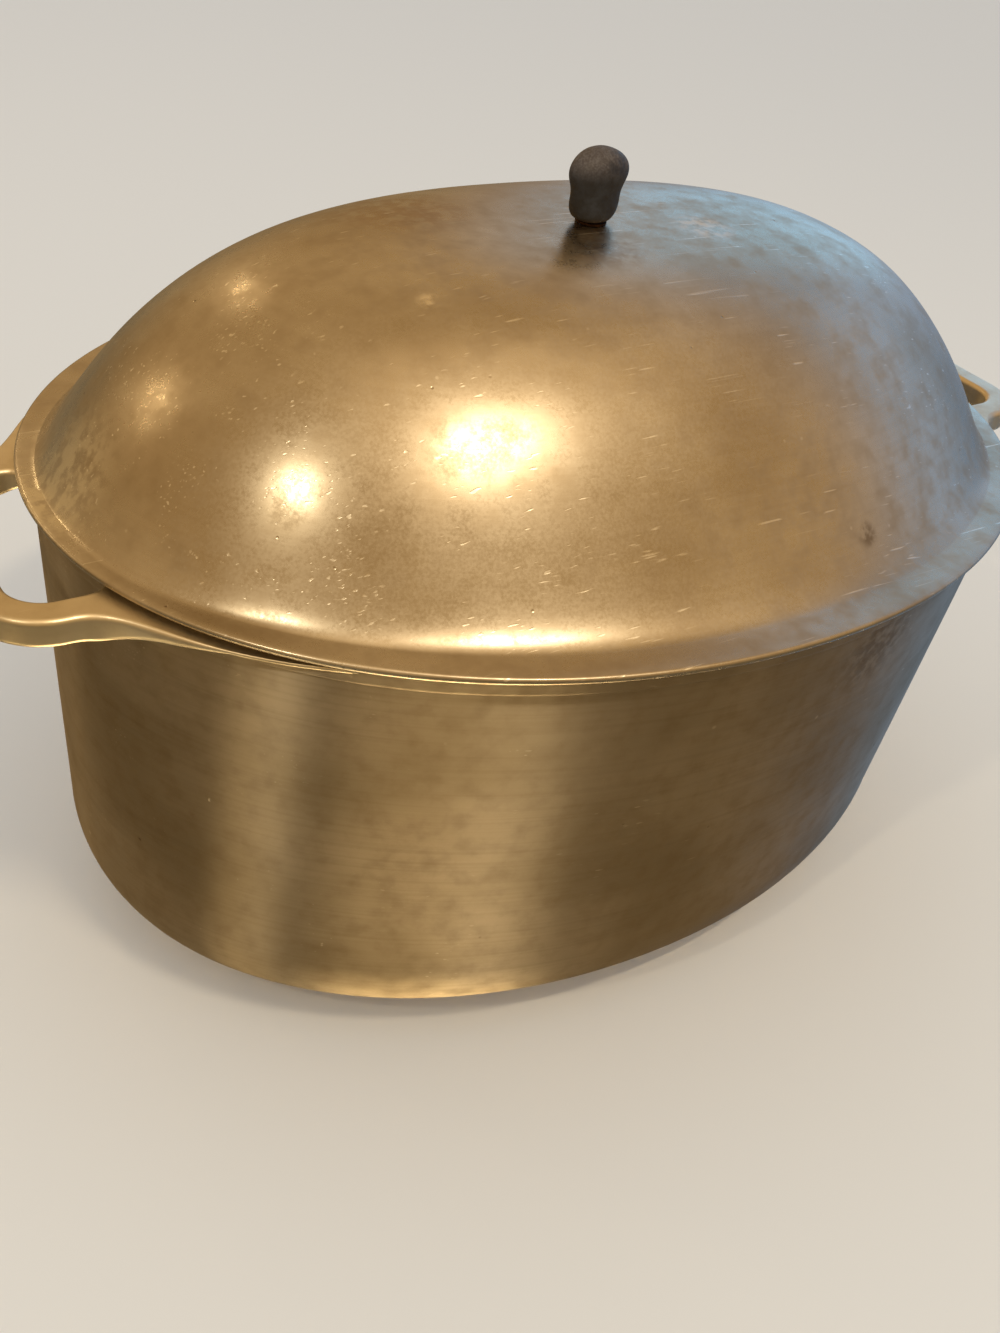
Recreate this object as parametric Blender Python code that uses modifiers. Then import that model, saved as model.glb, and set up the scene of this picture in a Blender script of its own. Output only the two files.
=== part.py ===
# Oval covered roaster in cast aluminium: a deep pot with a loop handle cast on each end of its rim,
# a domed lid that rests on the rim, a moulded grip screwed to the lid, and a loose rack inside.
# Metres, +Z up. The origin is the middle of the base, and +X runs along the long axis.

import math

import bmesh
import bpy
from mathutils import Matrix, Vector
from mathutils.geometry import interpolate_bezier

# Overall sizes.
LID_LENGTH = 0.400
LID_WIDTH = 0.3045
POT_DEPTH = 0.182  # base to rim
DOME_RISE = 0.078  # above the lid's flange
OVAL_POWER = 2.05  # of the superellipse in plan; 2 is a plain ellipse

# Pot.
LID_OVERHANG = 0.0048  # lid's edge past the wall at the rim
END_TAPER = 0.0070  # how far each wall leans in from rim to base
SIDE_TAPER = 0.0123
POT_WALL = 0.0040
POT_FLOOR = 0.0050
BASE_ROUND = 0.045
BEAD_OUT = 0.0025  # rim bead past the wall
BEAD_DEPTH = 0.0060
RIM_ROUND = 0.0012

# Loop handles, cast on the pot.
LOOP_OUT = 0.0300  # outside of the bar past the lid's edge
LOOP_HALF = 0.0496  # middle of the loop to the outside of a leg
LOOP_CORNER = 0.0230  # outer corner radius
BAR_WIDTH = 0.0112
BAR_THICK = 0.0100
BAR_EDGE = 0.0020  # edge rounding
LOOP_DROP = 0.0015  # top face below the rim
TANG_SHARE = 0.80  # where a leg's fairing leaves the rim, of the rim's half width
TANG_SWEEP = 0.081  # pull of the fairing along the rim
TANG_FLARE = math.radians(5.4)  # how far the fairing turns out from the rim
LEG_SWEEP = 0.022  # pull of the fairing along the leg

# Lid.
LID_WALL = 0.0030
FLANGE_THICK = 0.0025
FLANGE_END = 0.0060  # flat stretch between edge and dome
FLANGE_SIDE = 0.0120
FLANGE_ROUND = 0.0008
DOME_POWER = 2.2  # plan squareness of the dome
END_CROWN = 4.65  # the higher, the flatter the top along this axis
SIDE_CROWN = 3.55
END_COVE = 1.15  # the higher, the softer the sweep into the flange
SIDE_COVE = 1.75
LIP_DEPTH = 0.0060
LIP_THICK = 0.0030
LIP_CLEARANCE = 0.0015
PAD_RADIUS = 0.0145  # flat spot on top, under the grip

# Grip: height, length and width of each section.
GRIP_SECTIONS = (
    (0.0000, 0.0132, 0.0108),
    (0.0024, 0.0188, 0.0122),
    (0.0062, 0.0212, 0.0122),
    (0.0098, 0.0228, 0.0122),
    (0.0134, 0.0256, 0.0134),
    (0.0176, 0.0258, 0.0142),
    (0.0216, 0.0210, 0.0134),
    (0.0246, 0.0090, 0.0070),
)
GRIP_POWER = 2.4
GRIP_TURNED = math.radians(11)  # as it was last left, off the long axis

# Fixing of the grip.
SCREW_RADIUS = 0.0020
SCREW_REACH = 0.0090  # length inside the insert
HEAD_RADIUS = 0.0045
HEAD_HEIGHT = 0.0026
SLOT_WIDTH = 0.0010
SLOT_DEPTH = 0.0012
INSERT_RADIUS = 0.0035
INSERT_LENGTH = 0.0110
GRIP_WASHER = (0.0056, 0.0008)  # radius, thickness
FLAT_WASHER = (0.0070, 0.0010)
LOCK_WASHER = (0.0041, 0.0011)
LOCK_SPLIT = 0.0008

# Rack.
RACK_THICK = 0.0025
RACK_LEGS = 0.0120  # underside of the plate above the pot's floor
RACK_MARGIN = 0.0030  # clear of the pot's rounded corner
RACK_PITCH = 0.0380
RACK_HOLE = 0.0080  # radius
RACK_WEB = 0.0060  # least metal between a hole and the edge
FOOT_TOP = 0.0065  # radius where a foot meets the plate
FOOT_TIP = 0.0045
FOOT_SINK = 0.0010  # overlap that joins a foot to the plate
FOOT_SHARE = 0.72  # how far out the feet may stand, of the floor's flat

GAP = 0.0003  # between pieces that touch
SHANK_FIT = 0.0003  # round the screw's shank
INSERT_FIT = 0.0003  # round the insert
CUT_PAST = 0.010  # how far a cutter runs past what it cuts

SEGMENTS = 48  # round an oval
ROUND_STEPS = 24  # round a turned piece
HOLE_STEPS = 12  # round a hole in the rack
FILLET_STEPS = 6
DOME_STEPS = 11

# Worked out from the above.
EDGE = Vector((LID_LENGTH / 2, LID_WIDTH / 2))
RIM = EDGE - Vector((LID_OVERHANG, LID_OVERHANG))
FOOT_LINE = RIM - Vector((END_TAPER, SIDE_TAPER))  # wall at the top of the base rounding
SEAT = POT_DEPTH + GAP  # underside of the lid's flange
LOOP_REACH = EDGE.x + LOOP_OUT
LID_TOP = FLANGE_THICK + DOME_RISE  # above the seat
GRIP_BASE = LID_TOP + GAP + GRIP_WASHER[1] + GAP
HOLE_RADIUS = SCREW_RADIUS + SHANK_FIT


def clear_scene():
    for obj in list(bpy.data.objects):
        bpy.data.objects.remove(obj, do_unlink=True)


def new_collection(name):
    collection = bpy.data.collections.new(name)
    bpy.context.scene.collection.children.link(collection)
    return collection


def material(name, colour, roughness, metallic):
    made = bpy.data.materials.new(name)
    made.use_nodes = True
    shader = made.node_tree.nodes["Principled BSDF"]
    shader.inputs["Base Color"].default_value = (*colour, 1)
    shader.inputs["Roughness"].default_value = roughness
    shader.inputs["Metallic"].default_value = metallic
    return made


def add(name, mesh, collection, finish=None, location=(0, 0, 0), parent=None):
    obj = bpy.data.objects.new(name, mesh)
    obj.location = location
    obj.parent = parent
    if finish:
        mesh.materials.append(finish)
    collection.objects.link(obj)
    if collection is tools:
        obj.hide_render = True
        obj.display_type = "WIRE"
    return obj


def from_bmesh(name, bm):
    bmesh.ops.recalc_face_normals(bm, faces=bm.faces)
    mesh = bpy.data.meshes.new(name)
    bm.to_mesh(mesh)
    bm.free()
    mesh.shade_smooth()
    mesh.set_sharp_from_angle(angle=math.radians(35))
    return mesh


def oval(half, z, power=OVAL_POWER, count=SEGMENTS):
    """Points of a superellipse, for a pair of half lengths."""
    points = []
    for i in range(count):
        angle = math.tau * i / count
        c, s = math.cos(angle), math.sin(angle)
        x = math.copysign(abs(c) ** (2 / power), c) * half[0]
        y = math.copysign(abs(s) ** (2 / power), s) * half[1]
        points.append((x, y, z))
    return points


def oval_x(half, y):
    """Where the oval of these half lengths has this y, on the +X side."""
    return half[0] * (1 - (abs(y) / half[1]) ** OVAL_POWER) ** (1 / OVAL_POWER)


def oval_y(half, x):
    return oval_x((half[1], half[0]), x)


def loft(name, rings, ends):
    """Skins rings of equal count. The ends are capped, or joined to each other where ends is 'JOINED'."""
    bm = bmesh.new()
    loops = [[bm.verts.new(point) for point in ring] for ring in rings]
    pairs = list(zip(loops, loops[1:]))
    if ends == "JOINED":
        pairs.append((loops[-1], loops[0]))
    for low, high in pairs:
        for i in range(len(low)):
            j = (i + 1) % len(low)
            bm.faces.new((low[i], low[j], high[j], high[i]))
    if ends == "CAPPED":
        bm.faces.new(loops[0])
        bm.faces.new(loops[-1])
    return from_bmesh(name, bm)


def turned(name, profile, closed):
    """A mesh of the profile, (radius, height) from top to bottom on its outer side, for a Screw modifier."""
    bm = bmesh.new()
    verts = [bm.verts.new((radius, 0, z)) for radius, z in profile]
    for first, second in zip(verts, verts[1:]):
        bm.edges.new((first, second))
    if closed:
        bm.edges.new((verts[-1], verts[0]))
    mesh = bpy.data.meshes.new(name)
    bm.to_mesh(mesh)
    bm.free()
    return mesh


def spin(obj):
    screw = obj.modifiers.new("Turn", "SCREW")
    screw.steps = screw.render_steps = ROUND_STEPS
    screw.use_merge_vertices = True
    screw.merge_threshold = 0.00001


def boolean(obj, other, operation):
    modifier = obj.modifiers.new(other.name, "BOOLEAN")
    modifier.operation = operation
    modifier.solver = "EXACT"
    modifier.use_self = True  # a tang meets the rim almost edge on, which can defeat the plain union
    modifier.object = other


def cylinder(name, radius, low, high, tip=None):
    bm = bmesh.new()
    bmesh.ops.create_cone(
        bm,
        cap_ends=True,
        segments=ROUND_STEPS,
        radius1=radius if tip is None else tip,
        radius2=radius,
        depth=high - low,
    )
    bmesh.ops.translate(bm, verts=bm.verts, vec=(0, 0, (low + high) / 2))
    return from_bmesh(name, bm)


def plate(name, outlines, thick):
    """A flat plate from closed outlines, the inner ones as holes, centred on z = 0."""
    curve = bpy.data.curves.new(name, "CURVE")
    curve.dimensions = "2D"
    curve.fill_mode = "BOTH"
    curve.extrude = thick / 2
    for outline in outlines:
        spline = curve.splines.new("POLY")
        spline.points.add(len(outline) - 1)
        spline.use_cyclic_u = True
        for point, (x, y) in zip(spline.points, outline):
            point.co = (x, y, 0, 1)
    guide = bpy.data.objects.new(name + "_outline", curve)
    tools.objects.link(guide)
    bpy.context.view_layer.update()
    evaluated = guide.evaluated_get(bpy.context.evaluated_depsgraph_get())
    mesh = bpy.data.meshes.new_from_object(evaluated)
    bpy.data.objects.remove(guide)
    bm = bmesh.new()
    bm.from_mesh(mesh)
    bmesh.ops.remove_doubles(bm, verts=bm.verts, dist=0.000001)
    bpy.data.meshes.remove(mesh)
    return from_bmesh(name, bm)


def add_drill(bm, spot):
    bmesh.ops.create_cone(
        bm,
        cap_ends=True,
        segments=HOLE_STEPS,
        radius1=RACK_HOLE,
        radius2=RACK_HOLE,
        depth=RACK_THICK + CUT_PAST,
        matrix=Matrix.Translation(spot),
    )


def arc(centre, radius, start, end, steps=FILLET_STEPS):
    points = []
    for i in range(steps + 1):
        angle = math.radians(start + (end - start) * i / steps)
        points.append((centre[0] + radius * math.cos(angle), centre[1] + radius * math.sin(angle)))
    return points


def both_sides(half_outline):
    """The outline's +Y half, run from the pot outwards, and its mirror image back."""
    return half_outline + [(x, -y) for x, y in reversed(half_outline)]


def pot_half(z, inset=0.0):
    """Half lengths of the pot's wall at this height, between base rounding and rim."""
    share = (z - BASE_ROUND) / (POT_DEPTH - BASE_ROUND)
    return FOOT_LINE.lerp(RIM, share) - Vector((inset, inset))


def base_rings(inset, floor):
    """Rings of the rounded base, from the flat to the foot of the wall."""
    radius = BASE_ROUND - inset
    rings = []
    for i in range(FILLET_STEPS + 1):
        angle = math.pi / 2 * i / FILLET_STEPS
        pull = inset + radius * (1 - math.sin(angle))
        z = BASE_ROUND - (BASE_ROUND - floor) * math.cos(angle)
        rings.append(oval(FOOT_LINE - Vector((pull, pull)), z))
    return rings


def loop_outlines():
    """Outer and inner outline of the +X handle, with its tangs run along the rim."""
    wall = RIM - Vector((POT_WALL, POT_WALL)) / 2
    tang_y = TANG_SHARE * RIM.y
    start = Vector((oval_x(wall, tang_y), tang_y))
    slope = (wall.y / wall.x) ** OVAL_POWER * (start.x / start.y) ** (OVAL_POWER - 1)
    along = math.atan2(-slope, 1) + TANG_FLARE
    centre = (LOOP_REACH - LOOP_CORNER, LOOP_HALF - LOOP_CORNER)
    leg = Vector((centre[0], LOOP_HALF))
    pull_rim = start + TANG_SWEEP * Vector((math.cos(along), math.sin(along)))
    pull_leg = leg - Vector((LEG_SWEEP, 0))
    fairing = interpolate_bezier(start, pull_rim, pull_leg, leg, 14)
    corner = arc(centre, LOOP_CORNER, 90, 0)
    outer = [tuple(point)[:2] for point in fairing[:-1]] + corner
    inner_radius = LOOP_CORNER - BAR_WIDTH
    inside = RIM.x - 3 * POT_WALL
    inner = [(inside, centre[1])] + arc(centre, inner_radius, 180, 0, 2 * FILLET_STEPS)
    return both_sides(outer), both_sides(inner)


def make_pot():
    bead = Vector((BEAD_OUT, BEAD_OUT))
    round_in = Vector((RIM_ROUND, RIM_ROUND))
    neck = POT_DEPTH - BEAD_DEPTH - BEAD_OUT
    shoulder = POT_DEPTH - BEAD_DEPTH
    below = POT_DEPTH - RIM_ROUND
    rings = base_rings(0, 0)
    rings += [oval(pot_half(neck), neck), oval(pot_half(shoulder) + bead, shoulder)]
    rings += [oval(RIM + bead, below), oval(RIM + bead - round_in, POT_DEPTH)]
    pot = add("pot", loft("pot", rings, "CAPPED"), parts, cast_aluminium)

    past = POT_DEPTH + CUT_PAST
    hollow = base_rings(POT_WALL, POT_FLOOR) + [oval(pot_half(past, POT_WALL), past)]
    cavity = add("pot_cavity", loft("pot_cavity", hollow, "CAPPED"), tools)

    height = POT_DEPTH - LOOP_DROP - BAR_THICK / 2
    loop_mesh = plate("handle_loop", loop_outlines(), BAR_THICK)
    for name, turn in (("handle_right", 0), ("handle_left", math.pi)):
        loop = add(name, loop_mesh, tools, location=(0, 0, height))
        loop.rotation_euler.z = turn
        edge = loop.modifiers.new("Edge", "BEVEL")
        edge.width = BAR_EDGE
        edge.segments = 2
        edge.limit_method = "ANGLE"
        edge.angle_limit = math.radians(50)
        boolean(pot, loop, "UNION")
    boolean(pot, cavity, "DIFFERENCE")
    return pot


def dome_ring(rise):
    """Half lengths and plan power of the dome at a share of its rise."""
    foot = EDGE - Vector((FLANGE_END, FLANGE_SIDE))
    half_x = foot.x * (1 - rise ** (1 / END_COVE)) ** (1 / END_CROWN)
    half_y = foot.y * (1 - rise ** (1 / SIDE_COVE)) ** (1 / SIDE_CROWN)
    squareness = math.sin(min(1, 2 * rise) * math.pi / 2)
    power = OVAL_POWER + (DOME_POWER - OVAL_POWER) * squareness
    return Vector((half_x, half_y)), power


def make_lid():
    soft = Vector((FLANGE_ROUND, FLANGE_ROUND))
    wall = Vector((LID_WALL, LID_WALL))
    lip_out = RIM - Vector((POT_WALL + LIP_CLEARANCE, POT_WALL + LIP_CLEARANCE))
    lip_in = lip_out - Vector((LIP_THICK, LIP_THICK))
    rises = [math.sin(math.pi / 2 * i / DOME_STEPS) ** 2 for i in range(DOME_STEPS)]
    outside = [oval(EDGE - soft, 0), oval(EDGE, FLANGE_ROUND)]
    outside += [oval(EDGE, FLANGE_THICK - FLANGE_ROUND), oval(EDGE - soft, FLANGE_THICK)]
    inside = []
    for rise in rises:
        half, power = dome_ring(rise)
        z = FLANGE_THICK + DOME_RISE * rise
        outside.append(oval(half, z, power))
        if z > LID_WALL:
            under = half - wall
            under = (min(under.x, lip_in.x), min(under.y, lip_in.y))
            inside.append(oval(under, z - LID_WALL, power))
    pad = (PAD_RADIUS, PAD_RADIUS)
    hole = (HOLE_RADIUS, HOLE_RADIUS)
    top = [oval(pad, LID_TOP, 2), oval(hole, LID_TOP, 2)]
    top += [oval(hole, LID_TOP - LID_WALL, 2), oval(pad, LID_TOP - LID_WALL, 2)]
    lip = [oval(lip_in, 0), oval(lip_in, -LIP_DEPTH), oval(lip_out, -LIP_DEPTH), oval(lip_out, 0)]
    rings = outside + top + inside[::-1] + lip
    return add("lid", loft("lid", rings, "JOINED"), parts, cast_aluminium, (0, 0, SEAT))


def make_knob(lid):
    rings = []
    for z, length, width in GRIP_SECTIONS:
        rings.append(oval((length / 2, width / 2), z, GRIP_POWER, 16))
    mesh = loft("knob", rings, "CAPPED")
    crease = mesh.attributes.new("crease_edge", "FLOAT", "EDGE")
    for edge in mesh.edges:
        on_base = all(mesh.vertices[i].co.z == 0 for i in edge.vertices)
        crease.data[edge.index].value = 1.0 if on_base else 0.0
    knob = add("knob", mesh, parts, dark_phenolic, (0, 0, GRIP_BASE), lid)
    knob.rotation_euler.z = GRIP_TURNED
    soften = knob.modifiers.new("Soften", "SUBSURF")
    soften.levels = soften.render_levels = 1
    bore_end = INSERT_LENGTH + GAP + SHANK_FIT
    bore_mesh = cylinder("knob_bore", INSERT_RADIUS + INSERT_FIT, -CUT_PAST, bore_end)
    bore = add("knob_bore", bore_mesh, tools, location=(0, 0, GRIP_BASE), parent=lid)
    boolean(knob, bore, "DIFFERENCE")


def ring_profile(outer, inner, thick):
    return [(outer, thick), (outer, 0), (inner, 0), (inner, thick)]


def add_ring(name, size, z, finish, lid, inner=HOLE_RADIUS):
    """A flat ring, for (radius, thickness), with its underside at z above the seat."""
    mesh = turned(name, ring_profile(size[0], inner, size[1]), closed=True)
    ring = add(name, mesh, parts, finish, (0, 0, z), lid)
    spin(ring)
    return ring


def make_fixing(lid):
    add_ring("knob_washer", GRIP_WASHER, LID_TOP + GAP, aged_steel, lid)
    insert_size = (INSERT_RADIUS, INSERT_LENGTH)
    add_ring("knob_insert", insert_size, GRIP_BASE, brass, lid)

    flat_z = LID_TOP - LID_WALL - GAP - FLAT_WASHER[1]
    add_ring("knob_screw_washer", FLAT_WASHER, flat_z, bright_steel, lid)
    lock_z = flat_z - GAP - LOCK_WASHER[1]
    lock = add_ring("knob_lock_washer", LOCK_WASHER, lock_z, bright_steel, lid)
    bm = bmesh.new()
    bmesh.ops.create_cube(bm, size=1)
    reach = LOCK_WASHER[0] + CUT_PAST
    bmesh.ops.scale(bm, verts=bm.verts, vec=(reach, LOCK_SPLIT, 3 * LOCK_WASHER[1]))
    bmesh.ops.translate(bm, verts=bm.verts, vec=(reach / 2, 0, 0))
    split_z = lock_z + LOCK_WASHER[1] / 2
    split = add("lock_split", from_bmesh("lock_split", bm), tools, location=(0, 0, split_z), parent=lid)
    boolean(lock, split, "DIFFERENCE")

    head_z = lock_z - GAP  # top of the head
    tip_z = GRIP_BASE + SCREW_REACH
    profile = [(0, tip_z), (SCREW_RADIUS - SHANK_FIT, tip_z), (SCREW_RADIUS, tip_z - SHANK_FIT)]
    profile += [(SCREW_RADIUS, head_z), (HEAD_RADIUS, head_z), (HEAD_RADIUS, head_z - HEAD_HEIGHT / 3)]
    profile += [(HEAD_RADIUS * 0.7, head_z - HEAD_HEIGHT * 0.9), (0, head_z - HEAD_HEIGHT)]
    screw = add("knob_screw", turned("knob_screw", profile, closed=False), parts, bright_steel, parent=lid)
    spin(screw)
    bm = bmesh.new()
    bmesh.ops.create_cube(bm, size=1)
    bmesh.ops.scale(bm, verts=bm.verts, vec=(3 * HEAD_RADIUS, SLOT_WIDTH, 2 * SLOT_DEPTH))
    slot_z = head_z - HEAD_HEIGHT
    slot = add("screw_slot", from_bmesh("screw_slot", bm), tools, location=(0, 0, slot_z), parent=lid)
    boolean(screw, slot, "DIFFERENCE")


def rack_half():
    """Half lengths that clear the pot's rounded corner at the height of the plate's underside."""
    inner = BASE_ROUND - POT_WALL
    share = RACK_LEGS / (BASE_ROUND - POT_FLOOR)
    pull = POT_WALL + inner * (1 - math.sin(math.acos(1 - share))) + RACK_MARGIN
    return FOOT_LINE - Vector((pull, pull))


def between_holes(limit):
    """The furthest middle between two rows of holes that isn't past this limit."""
    return (max(0, math.floor(limit / RACK_PITCH - 0.5)) + 0.5) * RACK_PITCH


def make_rack():
    half = rack_half()
    rings = [oval(half, 0), oval(half, RACK_THICK)]
    rack = add("rack", loft("rack", rings, "CAPPED"), parts, sheet_aluminium)
    rack.location.z = POT_FLOOR + GAP + RACK_LEGS

    field = half - Vector((RACK_HOLE + RACK_WEB, RACK_HOLE + RACK_WEB))
    columns = int(field.x / RACK_PITCH)
    rows = int(field.y / RACK_PITCH)
    drill = bmesh.new()
    for i in range(-columns, columns + 1):
        for j in range(-rows, rows + 1):
            x, y = i * RACK_PITCH, j * RACK_PITCH
            if (abs(x) / field.x) ** OVAL_POWER + (abs(y) / field.y) ** OVAL_POWER < 1:
                add_drill(drill, (x, y, RACK_THICK / 2))
    holes = add("rack_holes", from_bmesh("rack_holes", drill), tools, parent=rack)
    boolean(rack, holes, "DIFFERENCE")

    foot_mesh = cylinder("rack_foot", FOOT_TOP, -RACK_LEGS, FOOT_SINK, tip=FOOT_TIP)
    flat = FOOT_LINE - Vector((BASE_ROUND + FOOT_TIP, BASE_ROUND + FOOT_TIP))
    foot_x = between_holes(FOOT_SHARE * flat.x)
    foot_y = between_holes(oval_y(flat, foot_x))
    for side_x in (-1, 1):
        for side_y in (-1, 1):
            spot = (side_x * foot_x, side_y * foot_y, 0)
            foot = add("rack_foot", foot_mesh, tools, location=spot, parent=rack)
            boolean(rack, foot, "UNION")


clear_scene()
parts = new_collection("oval_roaster")
tools = new_collection("cutters")
tools.hide_render = True
cast_aluminium = material("cast_aluminium", (0.62, 0.55, 0.44), 0.32, 1.0)
sheet_aluminium = material("sheet_aluminium", (0.60, 0.59, 0.56), 0.45, 1.0)
dark_phenolic = material("dark_phenolic", (0.055, 0.042, 0.036), 0.55, 0.0)
aged_steel = material("aged_steel", (0.22, 0.13, 0.08), 0.6, 0.8)
bright_steel = material("bright_steel", (0.55, 0.55, 0.54), 0.35, 1.0)
brass = material("brass", (0.70, 0.52, 0.24), 0.35, 1.0)

make_pot()
roaster_lid = make_lid()
make_knob(roaster_lid)
make_fixing(roaster_lid)
make_rack()
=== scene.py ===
import math

import bmesh
import bpy
from mathutils import Matrix, Vector
from mathutils.geometry import interpolate_bezier


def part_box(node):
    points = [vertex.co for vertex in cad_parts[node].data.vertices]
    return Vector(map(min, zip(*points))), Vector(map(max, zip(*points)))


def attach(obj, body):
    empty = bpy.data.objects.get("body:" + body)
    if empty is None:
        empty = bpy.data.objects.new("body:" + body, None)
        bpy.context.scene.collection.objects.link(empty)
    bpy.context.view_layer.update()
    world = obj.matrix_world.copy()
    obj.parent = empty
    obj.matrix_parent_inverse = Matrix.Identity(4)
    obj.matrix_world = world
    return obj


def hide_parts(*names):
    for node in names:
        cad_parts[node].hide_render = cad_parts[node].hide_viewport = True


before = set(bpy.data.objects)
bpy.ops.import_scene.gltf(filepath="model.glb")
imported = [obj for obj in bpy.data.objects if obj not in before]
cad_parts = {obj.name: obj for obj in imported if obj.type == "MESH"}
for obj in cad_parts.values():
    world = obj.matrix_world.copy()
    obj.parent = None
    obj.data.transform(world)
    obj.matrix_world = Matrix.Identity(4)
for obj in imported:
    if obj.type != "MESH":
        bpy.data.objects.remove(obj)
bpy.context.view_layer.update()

# A worn oval roaster in cast aluminium: pot with cast loop handles, domed lid, dark grip, loose rack.
# Metres. Overall sizes come from the frame's boxes; the dictionaries hold the shape within them.

potBox, lidBox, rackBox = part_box("pot"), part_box("lid"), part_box("rack")
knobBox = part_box("knob")
scene = bpy.context.scene


def hexColour(code):
    # from a screen colour to linear light
    channels = [int(code[i:i + 2], 16) / 255 for i in (1, 3, 5)]
    return tuple(c / 12.92 if c <= 0.04045 else ((c + 0.055) / 1.055) ** 2.4 for c in channels) + (1.0,)


def add(tree, kind, settings=None, inputs=None):
    # a node given as an input is linked by its first output in use
    made = tree.nodes.new(kind)
    for name, value in (settings or {}).items():
        setattr(made, name, value)
    for key, value in (inputs or {}).items():
        if isinstance(value, bpy.types.Node):
            value = next(output for output in value.outputs if output.enabled)
        if isinstance(value, bpy.types.NodeSocket):
            tree.links.new(value, made.inputs[key])
        else:
            made.inputs[key].default_value = value
    return made


def place(name, mesh):
    made = bpy.data.objects.new(name, mesh)
    scene.collection.objects.link(made)
    return made


weldGap = 0.0000005
sharpAngle = math.radians(35)


def tidyMesh(mesh):
    # welds what touches, turns the faces outwards and keeps the sharp edges
    bm = bmesh.new()
    bm.from_mesh(mesh)
    bmesh.ops.remove_doubles(bm, verts=bm.verts, dist=weldGap)
    bmesh.ops.recalc_face_normals(bm, faces=bm.faces)
    if bm.calc_volume(signed=True) < 0:
        bmesh.ops.reverse_faces(bm, faces=bm.faces)
    bm.to_mesh(mesh)
    bm.free()
    mesh.shade_smooth()
    mesh.set_sharp_from_angle(angle=sharpAngle)
    return mesh


def plainMesh(obj, name):
    # the finished shape as an ordinary mesh, with its maker object gone
    bpy.context.view_layer.update()
    evaluated = obj.evaluated_get(bpy.context.evaluated_depsgraph_get())
    mesh = bpy.data.meshes.new_from_object(evaluated)
    mesh.name = name
    bpy.data.objects.remove(obj, do_unlink=True)
    return mesh


def setInputs(modifier, values):
    for item in modifier.node_group.interface.items_tree:
        if item.item_type == "SOCKET" and item.in_out == "INPUT" and item.name in values:
            modifier[item.identifier] = values[item.name]


# Kinds of node and settings that come up often.
noiseNode = "ShaderNodeTexNoise"
rangeNode = "ShaderNodeMapRange"
mathNode = "ShaderNodeMath"
vectorNode = "ShaderNodeVectorMath"
mixNode = "ShaderNodeMix"
smooth = {"interpolation_type": "SMOOTHSTEP"}
mix = {"data_type": "RGBA"}
seeded = {"noise_dimensions": "4D"}
times = {"operation": "MULTIPLY"}
plus = {"operation": "ADD"}
timesPlus = {"operation": "MULTIPLY_ADD"}
power = {"operation": "POWER"}


# Finishes. The shaders measure in millimetres, and a field's scale is one over its size. The fields
# run from about 0.3 to 0.7, so the ranges that pick out their high parts start and end in there.
millimetre = 0.001


def newFinish(name):
    made = bpy.data.materials.new(name)
    made.use_nodes = True
    tree = made.node_tree
    coord = add(tree, "ShaderNodeTexCoord")
    at = add(tree, vectorNode, {"operation": "SCALE"}, {0: coord.outputs["Object"], "Scale": 1 / millimetre})
    return made, tree, tree.nodes["Principled BSDF"], at


castSizes = {"broad": 60.0, "mottle": 8.0, "grain": 0.9, "gaps": 16.0, "ragged": 4.0}


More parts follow.
